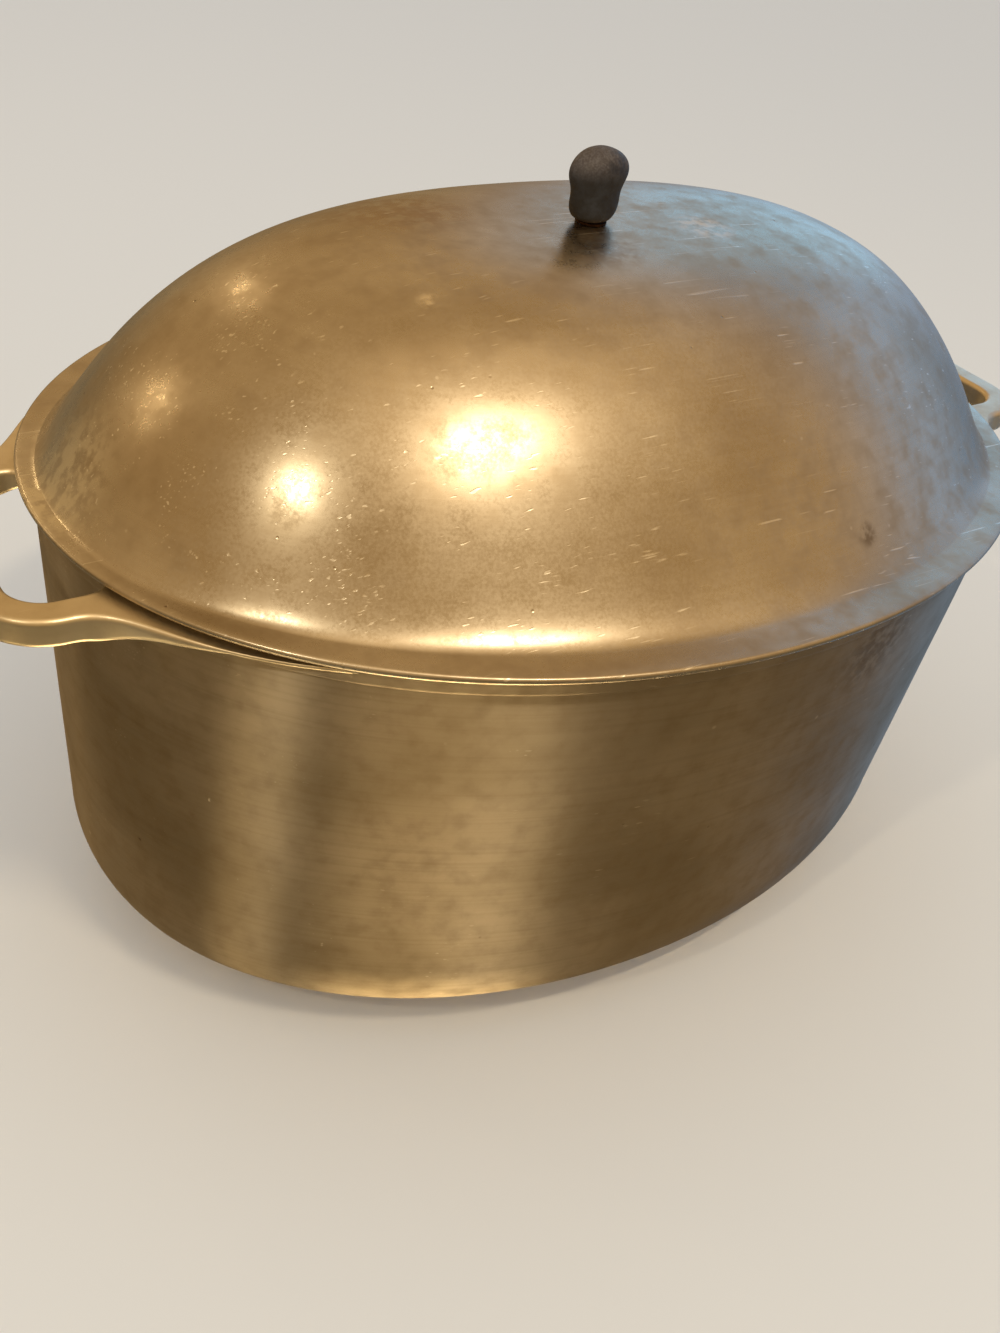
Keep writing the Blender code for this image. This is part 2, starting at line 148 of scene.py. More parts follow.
def castAluminium(name, look):
    # cast aluminium, scoured for years: a broken satin gloss with hairlines, pits and dull stained patches,
    # and any patches of painted light its look lists
    made, tree, shader, at = newFinish(name)
    seed = look["seed"]
    broad, mottle, grain = (
        add(tree, noiseNode, seeded, {"Vector": at, "W": seed + shift, "Scale": 1 / size, "Detail": detail})
        for shift, size, detail in ((0, castSizes["broad"], 3.0), (3, castSizes["mottle"], 4.0),
                                    (6, castSizes["grain"], 2.0))
    )
    drawn = add(tree, "ShaderNodeMapping", {}, {"Vector": at, "Scale": look["brush"]})
    brush = add(tree, noiseNode, seeded, {"Vector": drawn, "W": seed + 9, "Scale": 1.0, "Detail": 2.0})

    duller = add(tree, rangeNode, smooth, {0: broad, 1: 0.35, 2: 0.68})
    tone = add(tree, mixNode, mix, {0: duller, 6: hexColour(look["light"]), 7: hexColour(look["dull"])})
    for field, amount in ((mottle, look["mottle"]), (brush, look["brushTone"])):
        share = add(tree, rangeNode, smooth, {0: field, 1: 0.40, 2: 0.75, 4: amount})
        tone = add(tree, mixNode, mix, {0: share, 6: tone, 7: hexColour(look["patina"])})

    # hairlines in a few directions, each broken up by a second field
    scratches = None
    for i, (turn, low) in enumerate(look["scratches"]):
        hair = look["hairWidth"]
        way = add(tree, "ShaderNodeMapping", {},
                  {"Vector": at, "Rotation": (0.0, 0.0, math.radians(turn)),
                   "Scale": (hair * look["hairStretch"], hair, hair)})
        draw = seed + 20 + 3 * i
        lines = add(tree, noiseNode, seeded, {"Vector": way, "W": draw, "Scale": 1.0, "Detail": 0.0})
        line = add(tree, rangeNode, smooth, {0: lines, 1: 0.74, 2: 0.84})
        gaps = add(tree, noiseNode, seeded,
                   {"Vector": at, "W": draw + 7, "Scale": 1 / castSizes["gaps"], "Detail": 1.0})
        kept = add(tree, rangeNode, smooth, {0: gaps, 1: low, 2: low + 0.08})
        field = add(tree, mathNode, times, {0: line, 1: kept})
        if scratches:
            field = add(tree, mathNode, {"operation": "MAXIMUM"}, {0: scratches, 1: field})
        scratches = field
    bare = add(tree, mathNode, times, {0: scratches, 1: look["scratchTone"]})
    tone = add(tree, mixNode, mix, {0: bare, 6: tone, 7: hexColour(look["bare"])})

    # pits and bright flecks: one here and there of a field of cells
    cells = add(tree, "ShaderNodeTexVoronoi", {}, {"Vector": at, "Scale": 1 / look["pitApart"]})
    chosen = add(tree, "ShaderNodeSeparateColor", {}, {0: cells.outputs["Color"]})
    marks = []
    for channel, low, reach in ((0, 0.70, 0.075), (1, 0.78, 0.09)):
        disc = add(tree, rangeNode, smooth, {0: cells.outputs["Distance"], 1: reach, 2: reach * 0.25})
        keep = add(tree, rangeNode, smooth, {0: chosen.outputs[channel], 1: low, 2: low + 0.1})
        marks.append(add(tree, mathNode, times, {0: disc, 1: keep}))
    for mark, amount, colour in ((marks[0], 0.6, look["pit"]), (marks[1], 0.4, look["bare"])):
        share = add(tree, mathNode, times, {0: mark, 1: amount})
        tone = add(tree, mixNode, mix, {0: share, 6: tone, 7: hexColour(colour)})

    patchy, sparkle = look["patchy"], look["sparkle"]
    rougher = add(tree, rangeNode, smooth, {0: mottle, 1: 0.3, 2: 0.75, 3: -patchy, 4: patchy})
    gloss = add(tree, mathNode, plus, {0: rougher, 1: look["roughness"]})
    rougher = add(tree, rangeNode, smooth, {0: grain, 1: 0.3, 2: 0.7, 3: -sparkle, 4: sparkle})
    gloss = add(tree, mathNode, plus, {0: gloss, 1: rougher})
    ragged = add(tree, noiseNode, seeded,
                 {"Vector": at, "W": seed + 40, "Scale": 1 / castSizes["ragged"], "Detail": 3.0})
    # each entry is a stain, or a patch of painted light: a painted highlight or a painted reflection
    for centre, reach, soft, colour, amount, change in look["stainsAndPaintedLight"]:
        apart = add(tree, vectorNode, {"operation": "DISTANCE"}, {0: at, 1: centre})
        near = add(tree, rangeNode, smooth,
                   {0: apart.outputs["Value"], 1: reach, 2: reach - soft, 4: amount})
        broken = add(tree, rangeNode, smooth, {0: ragged, 1: 0.38, 2: 0.58})
        share = add(tree, mathNode, times, {0: near, 1: broken})
        tone = add(tree, mixNode, mix, {0: share, 6: tone, 7: hexColour(colour)})
        gloss = add(tree, mathNode, timesPlus, {0: share, 1: change, 2: gloss})

    tree.links.new(tone.outputs[2], shader.inputs["Base Color"])
    tree.links.new(gloss.outputs[0], shader.inputs["Roughness"])
    shader.inputs["Metallic"].default_value = 1.0
    shader.inputs["Anisotropic"].default_value = look["drawnOut"]
    if look["drawnOut"]:
        around = add(tree, "ShaderNodeTangent", {"direction_type": "RADIAL", "axis": "Z"})
        tree.links.new(around.outputs[0], shader.inputs["Tangent"])
        shader.inputs["Anisotropic Rotation"].default_value = 0.25  # the gloss runs across the turned marks
    relief = add(tree, mathNode, times, {0: brush, 1: look["brushDepth"]})
    for field, depth in ((scratches, -look["scratchDepth"]), (marks[0], -look["pitDepth"]),
                         (mottle, look["dimple"])):
        relief = add(tree, mathNode, timesPlus, {0: field, 1: depth, 2: relief})
    bump = add(tree, "ShaderNodeBump", {}, {"Strength": 1.0, "Distance": millimetre, "Height": relief})
    tree.links.new(bump.outputs[0], shader.inputs["Normal"])
    return made


lidLook = {
    "seed": 1.7,
    "light": "#D6CEBF", "dull": "#BDB19D", "patina": "#9A8768", "bare": "#F4EFE4", "pit": "#6A5338",
    "mottle": 0.36, "brush": (0.03, 0.03, 0.7), "brushTone": 0.10, "brushDepth": 0.006,
    # turn of each set of hairlines, and how rare they are
    "scratches": ((8, 0.50), (38, 0.54), (52, 0.57), (97, 0.52), (143, 0.57), (170, 0.50)),
    "hairWidth": 1.0, "hairStretch": 0.012,
    "scratchTone": 0.8, "scratchDepth": 0.022, "pitApart": 10.0, "pitDepth": 0.10, "dimple": 0.020,
    "roughness": 0.33, "patchy": 0.06, "sparkle": 0.04, "drawnOut": 0.0,
    # centre, reach, soft edge, colour, amount, change of roughness
    "stainsAndPaintedLight": (
        ((42.0, -13.0, 263.0), 14.0, 8.0, "#EEEBE4", 0.75, 0.15),
        # painted reflection: a pale glow over the lid's left end, where the metal mirrors bright light
        ((-188.0, 8.0, 190.0), 34.0, 30.0, "#FBF4DF", 0.65, -0.02),
        ((-10.0, -22.0, 263.0), 19.0, 14.0, "#8E6C44", 0.4, 0.05),
        ((-60.0, 30.0, 258.0), 34.0, 26.0, "#9C7A4C", 0.5, 0.04),
        # painted highlight: the bright glint of a small dent in the lid
        ((-87.0, -35.0, 258.0), 5.0, 4.0, "#FFF7E6", 0.9, 0.0),
        ((42.0, -122.0, 196.0), 6.0, 4.0, "#6B5433", 0.6, 0.1),
    ),
}
potLook = {
    "seed": 12.4,
    "light": "#BDB2A0", "dull": "#A69A85", "patina": "#82725A", "bare": "#EFE8D8", "pit": "#54422D",
    "mottle": 0.28, "brush": (0.012, 0.012, 0.8), "brushTone": 0.16, "brushDepth": 0.008,
    "scratches": ((4, 0.57), (60, 0.64), (120, 0.66)), "hairWidth": 1.1, "hairStretch": 0.012,
    "scratchTone": 0.4, "scratchDepth": 0.010, "pitApart": 13.0, "pitDepth": 0.12, "dimple": 0.030,
    "roughness": 0.43, "patchy": 0.03, "sparkle": 0.03, "drawnOut": 1.0,
    "stainsAndPaintedLight": (
        ((-176.0, -62.0, 100.0), 4.0, 3.0, "#6A3F20", 0.9, 0.2),
        ((40.0, -140.0, 165.0), 26.0, 20.0, "#6E5A3E", 0.5, 0.0),
    ),
}
# the handles are the pot's metal painted paler, standing in for the light their top faces catch; their
# grinding marks and gloss are their own
handleLookPaintedLight = dict(
    potLook, seed=31.9, light="#F0E6D0", dull="#DCCFB2", patina="#AE9872", stainsAndPaintedLight=(),
    brush=(0.08, 0.08, 0.3), brushTone=0.10, brushDepth=0.006, dimple=0.10, roughness=0.40, drawnOut=0.0,
)
lidFinish = castAluminium("castAluminiumScouredLid", lidLook)
potFinish = castAluminium("castAluminiumTurnedPot", potLook)
handleFinishPaintedLight = castAluminium("castAluminiumGroundHandlePaintedLight", handleLookPaintedLight)


def phenolic():
    # moulded phenolic, matt with age: near black, rubbed brown and greyed where fingers take it; the brown
    # rising towards the top is also painted light, where light from above falls on it
    look = {"dark": "#17191D", "grey": "#2A2C2F", "worn": "#443A34", "rub": "#5A514A", "seam": "#2C1B12"}
    made, tree, shader, at = newFinish("phenolicWornBrownPaintedLitTop")
    mottle = add(tree, noiseNode, seeded, {"Vector": at, "W": 2.2, "Scale": 1 / 4, "Detail": 4.0})
    fine = add(tree, noiseNode, seeded, {"Vector": at, "W": 8.8, "Scale": 1 / 0.7, "Detail": 2.0})
    height = add(tree, "ShaderNodeSeparateXYZ", {}, {0: at}).outputs[2]
    low, high = knobBox[0][2] * 1000, knobBox[1][2] * 1000
    # the band where the top turns brown: rubbed wear and painted light from above together
    wornAndLitFrom, wornAndLitFully = low + 0.55 * (high - low), low + 0.9 * (high - low)
    risen = add(tree, rangeNode, smooth, {0: height, 1: wornAndLitFrom, 2: wornAndLitFully})
    patchy = add(tree, rangeNode, smooth, {0: mottle, 1: 0.30, 2: 0.55, 3: 0.35, 4: 1.0})
    risen = add(tree, mathNode, times, {0: risen, 1: patchy})
    share = add(tree, rangeNode, smooth, {0: mottle, 1: 0.4, 2: 0.7})
    tone = add(tree, mixNode, mix, {0: share, 6: hexColour(look["dark"]), 7: hexColour(look["grey"])})
    share = add(tree, rangeNode, smooth, {0: fine, 1: 0.35, 2: 0.7})
    worn = add(tree, mixNode, mix, {0: share, 6: hexColour(look["worn"]), 7: hexColour(look["rub"])})
    tone = add(tree, mixNode, mix, {0: risen, 6: tone, 7: worn})
    foot = add(tree, rangeNode, smooth, {0: height, 1: low + 2.0, 2: low + 0.3})
    tone = add(tree, mixNode, mix, {0: foot, 6: tone, 7: hexColour(look["seam"])})
    tree.links.new(tone.outputs[2], shader.inputs["Base Color"])
    gloss = add(tree, rangeNode, smooth, {0: mottle, 1: 0.3, 2: 0.7, 3: 0.50, 4: 0.72})
    tree.links.new(gloss.outputs[0], shader.inputs["Roughness"])
    shader.inputs["IOR"].default_value = 1.55
    relief = add(tree, mathNode, times, {0: mottle, 1: 0.7})
    relief = add(tree, mathNode, timesPlus, {0: fine, 1: 0.06, 2: relief})
    bump = add(tree, "ShaderNodeBump", {}, {"Strength": 0.8, "Distance": millimetre, "Height": relief})
    tree.links.new(bump.outputs[0], shader.inputs["Normal"])
    return made


def plainMetal(name, light, dark, roughness, size, depth):
    # small hardware or sheet: two tones of one metal in blotches of this size, with a fine grain
    made, tree, shader, at = newFinish(name)
    mottle = add(tree, noiseNode, seeded, {"Vector": at, "W": size, "Scale": 1 / size, "Detail": 3.0})
    grain = add(tree, noiseNode, seeded, {"Vector": at, "W": 4.4, "Scale": 1 / 0.5, "Detail": 2.0})
    share = add(tree, rangeNode, smooth, {0: mottle, 1: 0.35, 2: 0.65})
    tone = add(tree, mixNode, mix, {0: share, 6: hexColour(light), 7: hexColour(dark)})
    tree.links.new(tone.outputs[2], shader.inputs["Base Color"])
    smoothest, roughest = roughness - 0.07, roughness + 0.08
    gloss = add(tree, rangeNode, smooth, {0: mottle, 1: 0.3, 2: 0.7, 3: smoothest, 4: roughest})
    tree.links.new(gloss.outputs[0], shader.inputs["Roughness"])
    shader.inputs["Metallic"].default_value = 1.0
    relief = add(tree, mathNode, times, {0: mottle, 1: depth})
    relief = add(tree, mathNode, timesPlus, {0: grain, 1: depth / 4, 2: relief})
    bump = add(tree, "ShaderNodeBump", {}, {"Strength": 1.0, "Distance": millimetre, "Height": relief})
    tree.links.new(bump.outputs[0], shader.inputs["Normal"])
    return made


gripFinish = phenolic()
brownedSteel = plainMetal("steelBrowned", "#453023", "#2C1F18", 0.55, 2.0, 0.06)
zincSteel = plainMetal("steelZincPlated", "#C6C6C2", "#9C9A94", 0.33, 3.0, 0.02)
turnedBrass = plainMetal("brassTurned", "#D2B06C", "#A98545", 0.32, 2.5, 0.02)
rackFinish = plainMetal("aluminiumSheetStained", "#CFCBC0", "#A79F8E", 0.42, 14.0, 0.05)
print("finishes made")


def ovalShellTree():
    # skins a profile round an oval: each profile point holds half length, half width and height
    tree = bpy.data.node_groups.new("ovalShell", "GeometryNodeTree")
    sockets = (("Profile", "NodeSocketGeometry"), ("Segments", "NodeSocketInt"),
               ("Unevenness", "NodeSocketFloat"), ("Wave Size", "NodeSocketFloat"),
               ("Seed", "NodeSocketFloat"), ("Finish", "NodeSocketMaterial"))
    for name, kind in sockets:
        tree.interface.new_socket(name=name, in_out="INPUT", socket_type=kind)
    tree.interface.new_socket(name="Shell", in_out="OUTPUT", socket_type="NodeSocketGeometry")
    start = add(tree, "NodeGroupInput")
    profile = start.outputs["Profile"]
    count = add(tree, "GeometryNodeAttributeDomainSize", {"component": "MESH"}, {"Geometry": profile})
    around = add(tree, mathNode, plus, {0: start.outputs["Segments"], 1: 1.0})
    grid = add(tree, "GeometryNodeMeshGrid", {}, {"Size X": 1.0, "Size Y": 1.0, "Vertices X": around,
                                                  "Vertices Y": count.outputs["Point Count"]})
    spot = add(tree, "ShaderNodeSeparateXYZ", {}, {0: add(tree, "GeometryNodeInputPosition")})
    turn = add(tree, mathNode, timesPlus, {0: spot.outputs[0], 1: math.tau, 2: math.pi})
    last = add(tree, mathNode, {"operation": "SUBTRACT"}, {0: count.outputs["Point Count"], 1: 1.0})
    along = add(tree, mathNode, plus, {0: spot.outputs[1], 1: 0.5})
    ring = add(tree, mathNode, times, {0: along, 1: last})
    ring = add(tree, mathNode, {"operation": "ROUND"}, {0: ring})
    size = add(tree, "GeometryNodeSampleIndex", {"data_type": "FLOAT_VECTOR"},
               {"Geometry": profile, "Value": add(tree, "GeometryNodeInputPosition"), "Index": ring})
    square = add(tree, "GeometryNodeInputNamedAttribute", {"data_type": "FLOAT"}, {"Name": "square"})
    square = add(tree, "GeometryNodeSampleIndex", {"data_type": "FLOAT"},
                 {"Geometry": profile, "Value": square, "Index": ring})
    half = add(tree, "ShaderNodeSeparateXYZ", {}, {0: size})
    curve = add(tree, mathNode, {"operation": "DIVIDE"}, {0: 2.0, 1: square})
    reach = []
    for wave, extent in (("COSINE", half.outputs[0]), ("SINE", half.outputs[1])):
        value = add(tree, mathNode, {"operation": wave}, {0: turn})
        amount = add(tree, mathNode, {"operation": "ABSOLUTE"}, {0: value})
        bent = add(tree, mathNode, power, {0: amount, 1: curve})
        sign = add(tree, mathNode, {"operation": "SIGN"}, {0: value})
        signed = add(tree, mathNode, times, {0: bent, 1: sign})
        reach.append(add(tree, mathNode, times, {0: signed, 1: extent}))
    point = add(tree, "ShaderNodeCombineXYZ", {}, {0: reach[0], 1: reach[1], 2: half.outputs[2]})
    shell = add(tree, "GeometryNodeSetPosition", {}, {"Geometry": grid.outputs["Mesh"], "Position": point})
    shell = add(tree, "GeometryNodeMergeByDistance", {}, {"Geometry": shell, "Distance": 0.000002})
    # the slight unevenness of a casting ground by hand
    fine = add(tree, mathNode, {"operation": "DIVIDE"}, {0: 1.0, 1: start.outputs["Wave Size"]})
    wave = add(tree, noiseNode, seeded, {"Vector": add(tree, "GeometryNodeInputPosition"),
                                         "W": start.outputs["Seed"], "Scale": fine, "Detail": 1.0})
    lift = add(tree, mathNode, {"operation": "SUBTRACT"}, {0: wave.outputs[0], 1: 0.5})
    lift = add(tree, mathNode, times, {0: lift, 1: start.outputs["Unevenness"]})
    push = add(tree, vectorNode, {"operation": "SCALE"},
               {0: add(tree, "GeometryNodeInputNormal"), "Scale": lift})
    shell = add(tree, "GeometryNodeSetPosition", {}, {"Geometry": shell, "Offset": push})
    shell = add(tree, "GeometryNodeRealizeInstances", {}, {"Geometry": shell})
    finish = start.outputs["Finish"]
    shell = add(tree, "GeometryNodeSetMaterial", {}, {"Geometry": shell, "Material": finish})
    add(tree, "NodeGroupOutput", {}, {0: shell})
    return tree


shellTree = ovalShellTree()


def ovalShell(name, profile, finish, segments, unevenness=0.0, waveSize=0.06, seed=0.0):
    guide = bpy.data.meshes.new(name + "Profile")
    guide.from_pydata([(x, y, z) for x, y, z, square in profile], [], [])
    guide.attributes.new("square", "FLOAT", "POINT")
    for i, row in enumerate(profile):
        guide.attributes["square"].data[i].value = row[3]
    maker = place(name + "Maker", guide)
    modifier = maker.modifiers.new("Shell", "NODES")
    modifier.node_group = shellTree
    setInputs(modifier, {"Segments": segments, "Unevenness": unevenness, "Wave Size": waveSize,
                         "Seed": seed, "Finish": finish})
    return tidyMesh(plainMesh(maker, name))


def arcSteps(count):
    return [math.pi / 2 * i / count for i in range(count + 1)]


# Pot: a deep tapered casting with a bead under its rim and a loop handle on each end.
pot = {
    "plan": 2.05,  # squareness of the oval; 2 is a plain ellipse
    "overhang": 0.0048, "endTaper": 0.0070, "sideTaper": 0.0123, "wall": 0.0040, "floor": 0.0050,
    "baseRound": 0.045, "beadOut": 0.0014, "beadDepth": 0.0060, "rimRound": 0.0012,
    # shares of the bead: how far its cove stands out, how high the cove is, how high its round is
    "coveOut": 0.45, "coveRise": 0.5, "beadRise": 0.9,
    "segments": 288, "baseSteps": 22, "wallSteps": 12, "rimSteps": 5,
    "innerBaseSteps": 16, "innerWallSteps": 8, "innerRimSteps": 4,
    "flatRows": (0.25, 0.5, 0.75, 0.93), "innerFlatRows": (0.8, 0.55, 0.3, 0.12),
    "unevenness": 0.0005, "waveSize": 0.075, "seed": 3.0,
}
rimHeight = potBox[1][2]
edgeHalf = Vector((lidBox[1][0], lidBox[1][1]))
rimHalf = edgeHalf - Vector((pot["overhang"], pot["overhang"]))
footHalf = rimHalf - Vector((pot["endTaper"], pot["sideTaper"]))


def ovalX(half, y):
    return half[0] * max(0.0, 1 - (abs(y) / half[1]) ** pot["plan"]) ** (1 / pot["plan"])


def potProfile():
    plan = pot["plan"]
    rows = [(0.0, 0.0, 0.0, plan)]

    def row(half, z):
        rows.append((half[0], half[1], z, plan))

    def wallHalf(z, inset=0.0):
        share = (z - pot["baseRound"]) / (rimHeight - pot["baseRound"])
        return footHalf.lerp(rimHalf, share) - Vector((inset, inset))

    def base(inset, floor, order):
        radius = pot["baseRound"] - inset
        for angle in order:
            pull = inset + radius * (1 - math.sin(angle))
            z = pot["baseRound"] - (pot["baseRound"] - floor) * math.cos(angle)
            row(footHalf - Vector((pull, pull)), z)

    flat = footHalf - Vector((pot["baseRound"], pot["baseRound"]))
    for share in pot["flatRows"]:
        row(flat * share, 0.0)
    base(0.0, 0.0, arcSteps(pot["baseSteps"]))
    neck = rimHeight - pot["beadDepth"] - pot["beadOut"]
    steps = pot["wallSteps"]
    for i in range(1, steps + 1):
        z = pot["baseRound"] + (neck - pot["baseRound"]) * i / steps
        row(wallHalf(z), z)
    shoulder = rimHeight - pot["beadDepth"]
    for angle in arcSteps(pot["rimSteps"])[1:]:  # cove under the bead, then its round
        out = pot["beadOut"] * pot["coveOut"] * (1 - math.cos(angle))
        z = neck + pot["beadOut"] * pot["coveRise"] * math.sin(angle)
        row(wallHalf(neck) + Vector((out, out)), z)
    for angle in arcSteps(pot["rimSteps"])[1:]:
        out = pot["beadOut"] * (pot["coveOut"] + (1 - pot["coveOut"]) * math.sin(angle))
        z = neck + pot["beadOut"] * (pot["coveRise"] + pot["beadRise"] * (1 - math.cos(angle)))
        row(wallHalf(shoulder) + Vector((out, out)), z)
    for angle in arcSteps(pot["rimSteps"]):
        out = pot["beadOut"] - pot["rimRound"] * (1 - math.cos(angle))
        row(rimHalf + Vector((out, out)), rimHeight - pot["rimRound"] * (1 - math.sin(angle)))
    for angle in arcSteps(pot["innerRimSteps"]):
        out = -pot["wall"] + pot["rimRound"] * (1 - math.sin(angle))
        row(rimHalf + Vector((out, out)), rimHeight - pot["rimRound"] * (1 - math.cos(angle)))
    steps = pot["innerWallSteps"]
    for i in range(1, steps + 1):
        z = rimHeight - pot["rimRound"] + (pot["baseRound"] - rimHeight + pot["rimRound"]) * i / steps
        row(wallHalf(z, pot["wall"]), z)
    base(pot["wall"], pot["floor"], arcSteps(pot["innerBaseSteps"])[::-1][1:])
    for share in pot["innerFlatRows"]:
        row(flat * share, pot["floor"])
    rows.append((0.0, 0.0, pot["floor"], plan))
    return rows


# Loop handle: a bar swept along two rails, whose ends run into the wall under the rim.
loop = {
    "halfWidth": 0.0496, "corner": 0.0230, "bar": 0.0112, "thick": 0.0100, "edge": 0.0022, "drop": 0.0015,
    "tangShare": 0.80, "tangSweep": 0.081, "tangFlare": 5.4, "legSweep": 0.022, "underFillet": 0.0025,
    "sideFillet": 0.0090,
    # the handle thins to this share as it runs into the wall, between these distances from it
    "thin": 0.12, "fade": (0.0062, 0.0150),
    # limits to the edge's round, as shares of the bar's width and thickness, and to the pull of a fillet
    "edgeOfWidth": 0.3, "edgeOfThick": 0.45, "pullLimit": 0.6,
    "rootBack": 0.0040, "fairingPoints": 40, "cornerSteps": 16, "barSteps": 6, "edgeSteps": 4,
}


def loopRails():
    reach = potBox[1][0]
    wall = rimHalf - Vector((pot["wall"], pot["wall"])) / 2
    tangY = loop["tangShare"] * rimHalf.y
    start = Vector((ovalX(wall, tangY), tangY))
    slope = (wall.y / wall.x) ** pot["plan"] * (start.x / start.y) ** (pot["plan"] - 1)
    along = math.atan2(-slope, 1) + math.radians(loop["tangFlare"])
    centre = Vector((reach - loop["corner"], loop["halfWidth"] - loop["corner"]))
    leg = Vector((centre.x, loop["halfWidth"]))
    pullRim = start + loop["tangSweep"] * Vector((math.cos(along), math.sin(along)))
    pullLeg = leg - Vector((loop["legSweep"], 0))
    fairing = interpolate_bezier(start, pullRim, pullLeg, leg, loop["fairingPoints"])
    inRadius = loop["corner"] - loop["bar"]
    openY = centre.y + inRadius
    rootX = ovalX(wall, openY)
    first = next(i for i, point in enumerate(fairing) if point.x >= rootX)
    back = loop["rootBack"]
    outer, inner = [], []
    for i, point in enumerate(fairing[:-1]):
        outer.append(Vector(point[:2]))
        if i < first:
            y = tangY - back + (openY - tangY + back) * i / first
            inner.append(Vector((ovalX(wall, y), y)))
        else:
            inner.append(Vector((point.x, openY)))
    for angle in reversed(arcSteps(loop["cornerSteps"])):
        ray = Vector((math.cos(angle), math.sin(angle)))
        outer.append(centre + loop["corner"] * ray)
        inner.append(centre + inRadius * ray)
    steps = loop["barSteps"]
    for i in range(1, steps + 1):  # the straight of the bar, to its middle
        y = centre.y * (1 - i / steps)
        outer.append(Vector((reach, y)))
        inner.append(Vector((reach - loop["bar"], y)))
    mirror = Vector((1, -1))
    outer += [point * mirror for point in outer[-2::-1]]
    inner += [point * mirror for point in inner[-2::-1]]
    return outer, inner


def offWall(x, y):
    # roughly how far a point stands out from the pot's wall
    share = ((abs(x) / rimHalf.x) ** pot["plan"] + (abs(y) / rimHalf.y) ** pot["plan"]) ** (1 / pot["plan"])
    return (share - 1) * math.hypot(x, y) / max(share, 0.001)


def fillet(distance, radius):
    if distance >= radius:
        return 0.0
    inside = radius - max(0.0, distance)
    return radius - math.sqrt(max(0.0, radius * radius - inside * inside))


def makeLoop(turn):
    outer, inner = loopRails()
    top = rimHeight - loop["drop"]
    openingEnd = potBox[1][0] - 1.5 * loop["bar"]  # past this the inner edge belongs to the bar
    bm = bmesh.new()
    sections = []
    for a, b in zip(outer, inner):
        across = b - a
        width = across.length
        across.normalize()
        proud = max(0.0, offWall(a.x, a.y))
        near, far = loop["fade"]
        fading = math.sin(math.pi / 2 * min(1.0, max(0.0, proud - near) / (far - near)))
        thick = loop["thick"] * (loop["thin"] + (1 - loop["thin"]) * fading)
        edge = min(loop["edge"], width * loop["edgeOfWidth"], thick * loop["edgeOfThick"])
        low = top - thick + edge
        corners = ((edge, low, math.pi), (width - edge, low, 1.5 * math.pi),
                   (width - edge, top - edge, 0.0), (edge, top - edge, 0.5 * math.pi))
        section = []
        for along, height, begin in corners:
            for angle in arcSteps(loop["edgeSteps"]):
                w = along + edge * math.cos(begin + angle)
                z = height + edge * math.sin(begin + angle)
                spot = a + across * w
                apart = offWall(spot.x, spot.y)
                if z < top - thick / 2:
                    z -= fillet(apart, loop["underFillet"]) * fading
                if w > width / 2 and abs(b.y) < loop["halfWidth"] and b.x < openingEnd:
                    pull = fillet(apart, loop["sideFillet"])
                    spot.y -= math.copysign(min(pull, abs(spot.y) * loop["pullLimit"]), spot.y)
                section.append(bm.verts.new((spot.x, spot.y, z)))
        sections.append(section)
    for low, high in zip(sections, sections[1:]):
        for i in range(len(low)):
            j = (i + 1) % len(low)
            bm.faces.new((low[i], low[j], high[j], high[i]))
    bm.faces.new(sections[0])
    bm.faces.new(sections[-1])
    bmesh.ops.rotate(bm, verts=bm.verts, cent=(0, 0, 0), matrix=Matrix.Rotation(turn, 3, "Z"))
    mesh = bpy.data.meshes.new("loop")
    bm.to_mesh(mesh)
    bm.free()
    mesh.materials.append(handleFinishPaintedLight)
    return tidyMesh(mesh)


def makePot():
    body = ovalShell("pot", potProfile(), potFinish, pot["segments"],
                     pot["unevenness"], pot["waveSize"], pot["seed"])
    shell = place("potMaker", body)
    shell.data.materials.clear()
    shell.data.materials.append(potFinish)
    loops = [place("loopMaker", makeLoop(turn)) for turn in (0.0, math.pi)]
    for other in loops:
        modifier = shell.modifiers.new("Join", "BOOLEAN")
        modifier.operation = "UNION"
        modifier.solver = "EXACT"
        modifier.use_self = True
        modifier.material_mode = "TRANSFER"
        modifier.object = other
    weight = shell.modifiers.new("Even", "WEIGHTED_NORMAL")
    weight.keep_sharp = True
    mesh = plainMesh(shell, "roasterPot")
    for other in loops:
        bpy.data.objects.remove(other, do_unlink=True)
    made = place("roasterPot", mesh)
    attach(made, "pot")
    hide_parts("pot")
    return made


potPiece = makePot()
print("pot", len(potPiece.data.polygons), "faces")

# Lid: a flat flange, a dome that rises from it in a cove, and a lip that sits inside the rim.
lid = {
    "wall": 0.0030, "flange": 0.0025, "flangeEnd": 0.0060, "flangeSide": 0.0120, "edgeRound": 0.0011,
    "lipDepth": 0.0060, "lipThick": 0.0030, "lipClear": 0.0015, "lipEdge": 0.0006,
    "seatRow": 0.0020, "flangeRows": (0.3, 0.65), "innerGap": 0.0002,
    "pad": 0.0145, "hole": 0.0023,
    # the higher a crown, the flatter the top that way; the higher a cove, the softer its sweep
    "domePlan": 2.2, "endCrown": 4.65, "sideCrown": 3.55, "endCove": 1.15, "sideCove": 1.75,
    "steps": 56, "edgeSteps": 4, "segments": 288, "unevenness": 0.0006, "waveSize": 0.085, "seed": 8.0,
}
seat = lidBox[0][2] + lid["lipDepth"]
lidTop = lidBox[1][2]
domeRise = lidTop - seat - lid["flange"]


def domeRow(rise):
    half = edgeHalf - Vector((lid["flangeEnd"], lid["flangeSide"]))
    halfX = half.x * (1 - rise ** (1 / lid["endCove"])) ** (1 / lid["endCrown"])
    halfY = half.y * (1 - rise ** (1 / lid["sideCove"])) ** (1 / lid["sideCrown"])
    plan = pot["plan"] + (lid["domePlan"] - pot["plan"]) * math.sin(min(1, 2 * rise) * math.pi / 2)
    return halfX, halfY, plan


